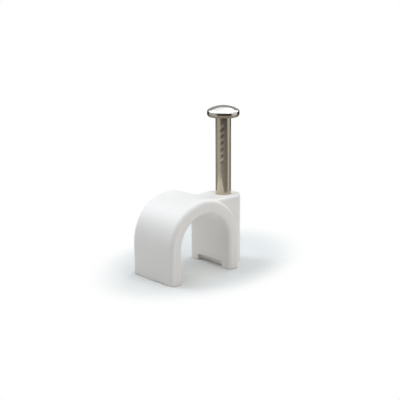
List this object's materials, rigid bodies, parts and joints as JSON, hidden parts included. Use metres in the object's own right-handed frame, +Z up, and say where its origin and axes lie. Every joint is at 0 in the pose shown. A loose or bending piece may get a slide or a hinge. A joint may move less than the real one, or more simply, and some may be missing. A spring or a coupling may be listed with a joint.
{
  "type": "nail-in cable clip",
  "caption": "White moulded saddle clip for a round cable, with a side boss that carries a steel nail ready to be driven into a wall or board.",
  "frame": {"origin": "middle of the clip's width and length, on the plane of its feet", "axes": "+Z up the nail, away from the wall; +Y along the cable; +X from the cable channel towards the nail"},
  "size_m": [0.0144, 0.0076, 0.0206],
  "materials": {
    "white_plastic": "moulded polyethylene, smooth satin",
    "plated_steel": "drawn steel wire, thin bright plating"
  },
  "bodies": {
    "root": {"clip_body": "white_plastic", "nail": "plated_steel"}
  },
  "joints": []
}
